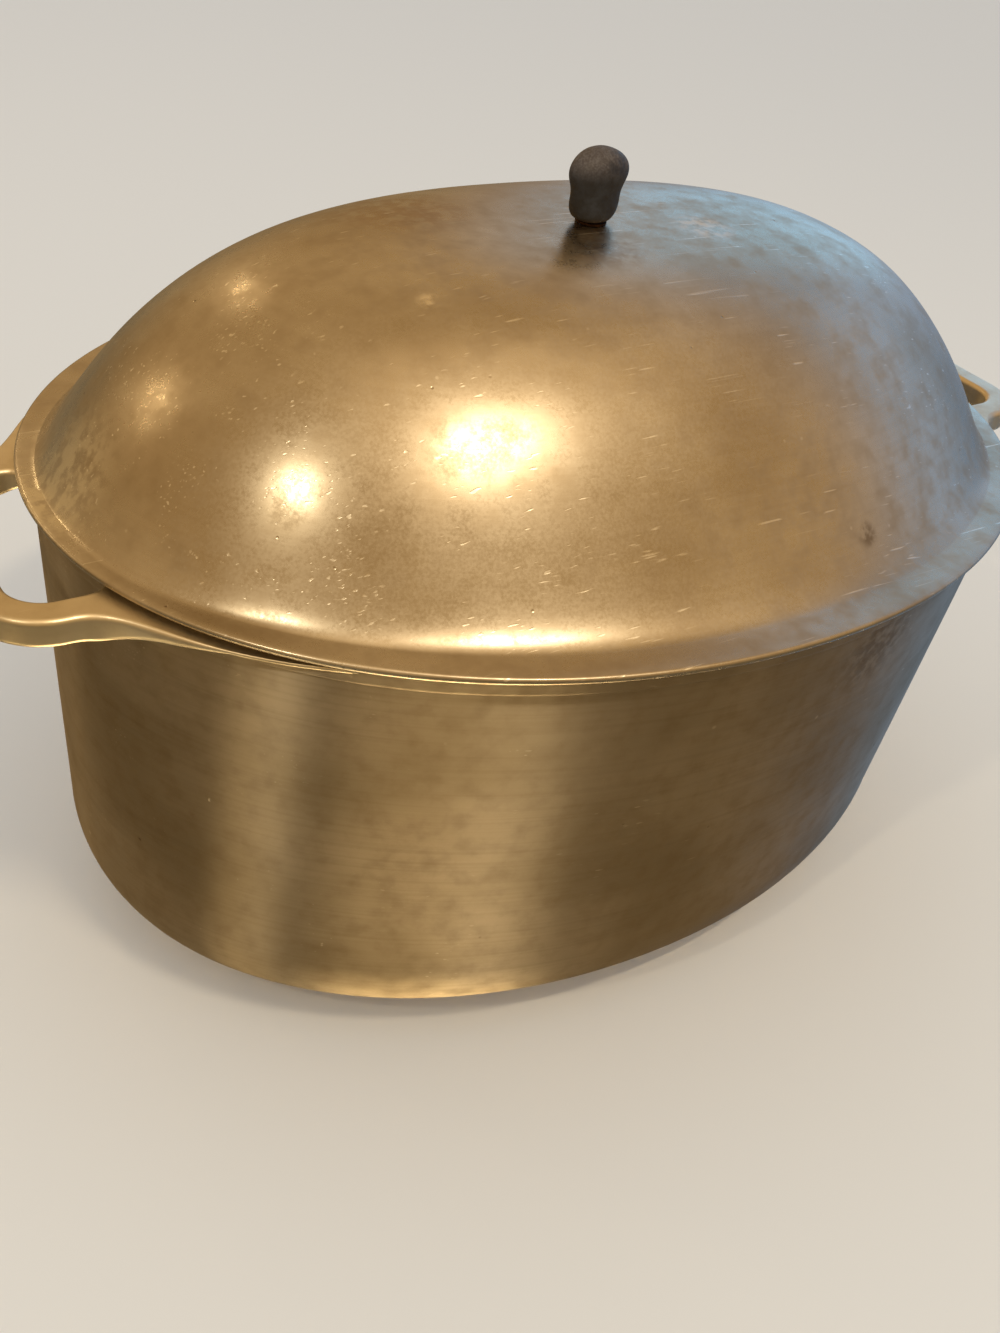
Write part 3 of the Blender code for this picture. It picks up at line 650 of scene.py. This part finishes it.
def lidProfile():
    plan = pot["plan"]
    rows = []

    def row(half, z, square=plan):
        rows.append((half[0], half[1], z, square))

    def edgeRow(pull, z):
        row(edgeHalf - Vector((pull, pull)), z)

    lipOut = rimHalf - Vector((1, 1)) * (pot["wall"] + lid["lipClear"])
    lipIn = lipOut - Vector((1, 1)) * lid["lipThick"]
    row(lipOut, seat)
    edgeRow(lid["edgeRound"] + lid["seatRow"], seat)
    for angle in arcSteps(lid["edgeSteps"]):
        edgeRow(lid["edgeRound"] * (1 - math.sin(angle)), seat + lid["edgeRound"] * (1 - math.cos(angle)))
    for angle in arcSteps(lid["edgeSteps"]):
        z = seat + lid["flange"] - lid["edgeRound"] * (1 - math.sin(angle))
        edgeRow(lid["edgeRound"] * (1 - math.cos(angle)), z)
    foot = domeRow(0.0)
    rim = edgeHalf - Vector((1, 1)) * lid["edgeRound"]
    for share in lid["flangeRows"]:
        row(rim.lerp(Vector(foot[:2]), share), seat + lid["flange"])
    under = []
    for i in range(lid["steps"]):
        rise = math.sin(math.pi / 2 * i / lid["steps"]) ** 2
        halfX, halfY, square = domeRow(rise)
        z = seat + lid["flange"] + domeRise * rise
        row((halfX, halfY), z, square)
        if z - lid["wall"] > seat + lid["innerGap"] and i % 2 == 0:
            inX, inY = min(halfX - lid["wall"], lipIn.x), min(halfY - lid["wall"], lipIn.y)
            under.append((inX, inY, z - lid["wall"], square))
    for radius in (lid["pad"], lid["hole"]):
        row((radius, radius), lidTop, 2.0)
    for radius in (lid["hole"], lid["pad"]):
        row((radius, radius), lidTop - lid["wall"], 2.0)
    rows.extend(reversed(under))
    row(lipIn, seat)
    lipFoot, cut = seat - lid["lipDepth"], lid["lipEdge"]
    row(lipIn, lipFoot + cut)
    row(lipIn + Vector((cut, cut)), lipFoot)
    row(lipOut - Vector((cut, cut)), lipFoot)
    row(lipOut, lipFoot + cut)
    row(lipOut, seat)
    return rows


def makeLid():
    mesh = ovalShell("roasterLid", lidProfile(), lidFinish, lid["segments"],
                     lid["unevenness"], lid["waveSize"], lid["seed"])
    made = place("roasterLid", mesh)
    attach(made, "lid")
    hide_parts("lid")
    return made


lidPiece = makeLid()
print("lid", len(lidPiece.data.polygons), "faces")

# Grip: moulded, waisted near its foot, worn round on top.
grip = {
    # height, length and width of each section, then the bore for the brass bush
    "sections": (
        (0.0000, 0.0128, 0.0104), (0.0010, 0.0162, 0.0117), (0.0030, 0.0200, 0.0125),
        (0.0060, 0.0213, 0.0124), (0.0090, 0.0209, 0.0119), (0.0118, 0.0226, 0.0124),
        (0.0146, 0.0256, 0.0136), (0.0172, 0.0258, 0.0141), (0.0196, 0.0236, 0.0137),
        (0.0218, 0.0190, 0.0124), (0.0236, 0.0128, 0.0095), (0.0246, 0.0050, 0.0044),
    ),
    "plan": 2.3, "turned": 11.0, "bore": 0.0038, "boreDepth": 0.0116, "segments": 48,
}


def makeGrip():
    base = knobBox[0][2]
    rise = (knobBox[1][2] - base) / grip["sections"][-1][0]
    rows = [(grip["bore"], grip["bore"], base, 2.0)]
    for z, length, width in grip["sections"]:
        rows.append((length / 2, width / 2, base + z * rise, grip["plan"]))
    rows.append((0.0, 0.0, knobBox[1][2], grip["plan"]))
    rows.insert(0, (grip["bore"], grip["bore"], base + grip["boreDepth"], 2.0))
    rows.insert(0, (0.0, 0.0, base + grip["boreDepth"], 2.0))
    mesh = ovalShell("roasterGrip", rows, gripFinish, grip["segments"])
    made = place("gripMaker", mesh)
    soften = made.modifiers.new("Soften", "SUBSURF")
    soften.levels = soften.render_levels = 2
    mesh = plainMesh(made, "roasterGrip")
    mesh.transform(Matrix.Rotation(math.radians(grip["turned"]), 4, "Z"))
    made = place("roasterGrip", tidyMesh(mesh))
    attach(made, "grip")
    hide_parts("knob")
    return made


makeGrip()
for node, finish in (("knob_washer", brownedSteel), ("knob_insert", turnedBrass), ("knob_screw", zincSteel),
                     ("knob_screw_washer", zincSteel), ("knob_lock_washer", zincSteel)):
    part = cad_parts[node]
    part.data.materials.clear()
    part.data.materials.append(finish)
print("grip and its fixing")

# Rack: a drilled plate on four feet. The field of holes and the feet repeat, so nodes lay them out.
rack = {
    "thick": 0.0025, "edge": 0.0009, "legs": 0.0120, "pitch": 0.038, "hole": 0.0080, "web": 0.0060,
    "lines": 13,  # of the lattice each way, more than the plate has room for
    "drill": 0.0200, "sides": 40, "edgeSteps": 3, "segments": 144,
    "footTop": 0.0065, "footTip": 0.0045, "footSink": 0.0010, "footPitches": (5, 3),
}


def drilledPlateTree():
    tree = bpy.data.node_groups.new("drilledPlate", "GeometryNodeTree")
    sockets = (("Plate", "NodeSocketGeometry"), ("Pitch", "NodeSocketFloat"), ("Lines", "NodeSocketInt"),
               ("Hole Radius", "NodeSocketFloat"), ("Drill Length", "NodeSocketFloat"),
               ("Sides", "NodeSocketInt"),
               ("Field", "NodeSocketVector"), ("Plan", "NodeSocketFloat"), ("Height", "NodeSocketFloat"),
               ("Leg", "NodeSocketFloat"), ("Foot Top", "NodeSocketFloat"), ("Foot Tip", "NodeSocketFloat"),
               ("Feet Apart", "NodeSocketVector"), ("Finish", "NodeSocketMaterial"))
    for name, kind in sockets:
        tree.interface.new_socket(name=name, in_out="INPUT", socket_type=kind)
    tree.interface.new_socket(name="Rack", in_out="OUTPUT", socket_type="NodeSocketGeometry")
    start = add(tree, "NodeGroupInput")
    pitch = start.outputs["Pitch"]

    # a square lattice of points, kept where a hole fits inside the plate's oval
    lines = start.outputs["Lines"]
    across = add(tree, mathNode, {"operation": "SUBTRACT"}, {0: lines, 1: 1.0})
    across = add(tree, mathNode, times, {0: pitch, 1: across})
    lattice = add(tree, "GeometryNodeMeshGrid", {}, {"Size X": across, "Size Y": across,
                                                     "Vertices X": lines, "Vertices Y": lines})
    share = add(tree, vectorNode, {"operation": "DIVIDE"},
                {0: add(tree, "GeometryNodeInputPosition"), 1: start.outputs["Field"]})
    share = add(tree, vectorNode, {"operation": "ABSOLUTE"}, {0: share})
    share = add(tree, "ShaderNodeSeparateXYZ", {}, {0: share})
    lengthwise = add(tree, mathNode, power, {0: share.outputs[0], 1: start.outputs["Plan"]})
    crosswise = add(tree, mathNode, power, {0: share.outputs[1], 1: start.outputs["Plan"]})
    out = add(tree, mathNode, plus, {0: lengthwise, 1: crosswise})
    past = {"data_type": "FLOAT", "operation": "GREATER_THAN"}
    out = add(tree, "FunctionNodeCompare", past, {0: out, 1: 1.0})
    lattice = add(tree, "GeometryNodeDeleteGeometry", {"domain": "POINT"},
                  {"Geometry": lattice.outputs["Mesh"], "Selection": out})
    drill = add(tree, "GeometryNodeMeshCylinder", {},
                {"Vertices": start.outputs["Sides"], "Radius": start.outputs["Hole Radius"],
                 "Depth": start.outputs["Drill Length"]})
    drills = add(tree, "GeometryNodeInstanceOnPoints", {},
                 {"Points": lattice, "Instance": drill.outputs["Mesh"]})
    lift = add(tree, "ShaderNodeCombineXYZ", {}, {2: start.outputs["Height"]})
    drills = add(tree, "GeometryNodeTranslateInstances", {},
                 {"Instances": drills, "Translation": lift, "Local Space": False})
    drills = add(tree, "GeometryNodeRealizeInstances", {}, {"Geometry": drills})
    body = add(tree, "GeometryNodeMeshBoolean", {"operation": "DIFFERENCE"},
               {"Mesh 1": start.outputs["Plate"], "Mesh 2": drills})

    # a tapered foot at each corner of an oblong
    apart = add(tree, "ShaderNodeSeparateXYZ", {}, {0: start.outputs["Feet Apart"]})
    corners = add(tree, "GeometryNodeMeshGrid", {}, {"Size X": apart.outputs[0], "Size Y": apart.outputs[1],
                                                     "Vertices X": 2, "Vertices Y": 2})
    foot = add(tree, "GeometryNodeMeshCone", {},
               {"Vertices": start.outputs["Sides"], "Radius Top": start.outputs["Foot Top"],
                "Radius Bottom": start.outputs["Foot Tip"], "Depth": start.outputs["Leg"]})
    feet = add(tree, "GeometryNodeInstanceOnPoints", {},
               {"Points": corners.outputs["Mesh"], "Instance": foot.outputs["Mesh"]})
    base = add(tree, "ShaderNodeCombineXYZ", {}, {2: apart.outputs[2]})
    feet = add(tree, "GeometryNodeTranslateInstances", {},
               {"Instances": feet, "Translation": base, "Local Space": False})
    feet = add(tree, "GeometryNodeRealizeInstances", {}, {"Geometry": feet})
    body = add(tree, "GeometryNodeMeshBoolean", {"operation": "UNION"}, {"Mesh 2": body.outputs[0]})
    tree.links.new(feet.outputs[0], body.inputs["Mesh 2"])
    body = add(tree, "GeometryNodeRealizeInstances", {}, {"Geometry": body.outputs[0]})
    finish = start.outputs["Finish"]
    body = add(tree, "GeometryNodeSetMaterial", {}, {"Geometry": body, "Material": finish})
    add(tree, "NodeGroupOutput", {}, {0: body})
    return tree


def makeRack():
    half = Vector((rackBox[1][0], rackBox[1][1]))
    low = rackBox[0][2] + rack["legs"]
    high = low + rack["thick"]
    edge = rack["edge"]
    plan = pot["plan"]
    rows = [(0.0, 0.0, low, plan), (half.x * 0.5, half.y * 0.5, low, plan)]
    for angle in arcSteps(rack["edgeSteps"]):
        pull = edge * (1 - math.sin(angle))
        rows.append((half.x - pull, half.y - pull, low + edge * (1 - math.cos(angle)), plan))
    for angle in arcSteps(rack["edgeSteps"]):
        pull = edge * (1 - math.cos(angle))
        rows.append((half.x - pull, half.y - pull, high - edge * (1 - math.sin(angle)), plan))
    rows += [(half.x * 0.5, half.y * 0.5, high, plan), (0.0, 0.0, high, plan)]
    maker = place("rackMaker", ovalShell("rackPlate", rows, rackFinish, rack["segments"]))
    modifier = maker.modifiers.new("Drill", "NODES")
    modifier.node_group = drilledPlateTree()
    inset = rack["hole"] + rack["web"]
    leg = rack["legs"] + rack["footSink"]
    feetX, feetY = (count * rack["pitch"] for count in rack["footPitches"])
    setInputs(modifier, {
        "Pitch": rack["pitch"], "Lines": rack["lines"],
        "Hole Radius": rack["hole"], "Drill Length": rack["drill"], "Sides": rack["sides"],
        "Field": (half.x - inset, half.y - inset, 1.0), "Plan": plan, "Height": low, "Leg": leg,
        "Foot Top": rack["footTop"], "Foot Tip": rack["footTip"],
        "Feet Apart": (feetX, feetY, rackBox[0][2]), "Finish": rackFinish,
    })
    made = place("roasterRack", tidyMesh(plainMesh(maker, "roasterRack")))
    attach(made, "rack")
    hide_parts("rack")
    return made


rackPiece = makeRack()
print("rack", len(rackPiece.data.polygons), "faces")

studio = {
    "floor": "#E4E1DB", "floorRadius": 7.0, "floorSides": 96, "sky": "#DEDEDE",
    "above": "#BE9A68", "below": "#786A52", "skyline": (-0.25, 0.35),
    # way to each patch of the room, where it starts and is full as cosines, colour, brightness
    "patches": (
        ((0.96, 0.26, 0.09), 0.70, 0.91, "#A0B4D0", 1.0),
        ((0.77, 0.60, 0.21), 0.95, 0.995, "#B0DCFF", 1.2),
        ((0.88, 0.10, -0.46), 0.80, 0.95, "#7488A0", 1.0),
        ((0.10, -0.30, 0.95), 0.82, 0.97, "#F2CB94", 1.1),
        ((0.06, -0.12, -0.99), 0.955, 0.990, "#FFDCA0", 9.0),
        ((-0.57, -0.14, -0.81), 0.982, 0.998, "#FFDCA0", 3.0),
    ),
}


def makeFloor():
    bm = bmesh.new()
    bmesh.ops.create_circle(bm, cap_ends=True, segments=studio["floorSides"], radius=studio["floorRadius"])
    mesh = bpy.data.meshes.new("studioFloor")
    bm.to_mesh(mesh)
    bm.free()
    made = place("studioFloor", mesh)
    finish = bpy.data.materials.new("paleFloor")  # matt paper: a quiet, light ground with soft shadows
    finish.use_nodes = True
    shader = finish.node_tree.nodes["Principled BSDF"]
    shader.inputs["Base Color"].default_value = hexColour(studio["floor"])
    shader.inputs["Roughness"].default_value = 0.9
    mesh.materials.append(finish)
    made.visible_glossy = False  # the metal mirrors the room, not the floor sheet


def makeRoom():
    # the metal mirrors a warm room with a cool window in it; everything else sees plain pale light
    world = bpy.data.worlds.new("studioRoom")
    scene.world = world
    world.use_nodes = True
    world.cycles.sampling_method = "NONE"  # so each kind of ray keeps to its own room
    tree = world.node_tree
    tree.nodes.clear()
    way = add(tree, "ShaderNodeTexCoord").outputs["Generated"]
    height = add(tree, "ShaderNodeSeparateXYZ", {}, {0: way}).outputs[2]
    low, high = studio["skyline"]
    risen = add(tree, rangeNode, smooth, {0: height, 1: low, 2: high})
    below, above = hexColour(studio["below"]), hexColour(studio["above"])
    room = add(tree, mixNode, mix, {0: risen, 6: below, 7: above})
    for aim, start, full, colour, brightness in studio["patches"]:
        aim = Vector(aim).normalized()
        facing = add(tree, vectorNode, {"operation": "DOT_PRODUCT"}, {0: way, 1: aim})
        share = add(tree, rangeNode, smooth, {0: facing.outputs["Value"], 1: start, 2: full})
        light = tuple(c * brightness for c in hexColour(colour)[:3]) + (1.0,)
        room = add(tree, mixNode, mix, {0: share, 6: room, 7: light})
    mirrored = add(tree, "ShaderNodeLightPath").outputs["Is Glossy Ray"]
    room = add(tree, mixNode, mix, {0: mirrored, 6: hexColour(studio["sky"]), 7: room})
    back = add(tree, "ShaderNodeBackground", {}, {"Color": room, "Strength": 1.0})
    add(tree, "ShaderNodeOutputWorld", {}, {0: back})


lamps = (
    # name, spot it glances off in millimetres, way to the lamp, distance, watts, length, breadth, colour
    ("ceilingLamp", (-91, -86, 226), (0.05, -0.50, 0.86), 1.5, 5.8, 0.340, 0.050, "#FFEBC8"),
    ("leftLamp", (-148, -67, 210), (-0.63, -0.27, 0.73), 1.5, 2.6, 0.060, 0.060, "#FFF0D0"),
    ("backLamp", (-131, 4, 247), (-0.02, 0.86, 0.50), 1.6, 0.35, 0.120, 0.120, "#FFDDA8"),
    ("sideLamp", (-166, -9, 220), (-0.54, 0.74, 0.39), 1.6, 0.50, 0.120, 0.120, "#FFDDA8"),
)


def makeLamps():
    for name, spot, way, distance, watts, length, breadth, colour in lamps:
        light = bpy.data.lights.new(name, "AREA")
        light.shape = "ELLIPSE"
        light.size = length
        light.size_y = breadth
        light.energy = watts
        light.color = hexColour(colour)[:3]
        made = bpy.data.objects.new(name, light)
        way = Vector(way).normalized()
        made.location = Vector(spot) / 1000 + way * distance
        made.rotation_euler = way.to_track_quat("Z", "Y").to_euler()
        scene.collection.objects.link(made)


shot = {
    "azimuth": -39.1168, "elevation": 35.8774, "roll": 9.5746, "distance": 0.58548,
    "right": -0.00972, "up": -0.02561, "aim": 0.1, "lens": 37.78, "sensor": 36.0, "near": 0.01,
}


def makeCamera():
    azimuth, elevation, roll = (math.radians(shot[key]) for key in ("azimuth", "elevation", "roll"))
    level = math.cos(elevation)
    back = Vector((math.sin(azimuth) * level, -math.cos(azimuth) * level, math.sin(elevation)))
    right = Vector((math.cos(azimuth), math.sin(azimuth), 0))
    up = back.cross(right)
    side = right * math.cos(roll) + up * math.sin(roll)
    top = up * math.cos(roll) - right * math.sin(roll)
    data = bpy.data.cameras.new("roasterCamera")
    data.lens = shot["lens"]
    data.sensor_width = shot["sensor"]
    data.clip_start = shot["near"]
    made = bpy.data.objects.new("roasterCamera", data)
    where = back * shot["distance"] + side * shot["right"] + top * shot["up"] + Vector((0, 0, shot["aim"]))
    made.matrix_world = Matrix.Translation(where) @ Matrix((side, top, back)).transposed().to_4x4()
    scene.collection.objects.link(made)
    scene.camera = made


makeFloor()
makeRoom()
makeLamps()
makeCamera()
scene.view_settings.view_transform = "Standard"
print("room, lamps and camera")
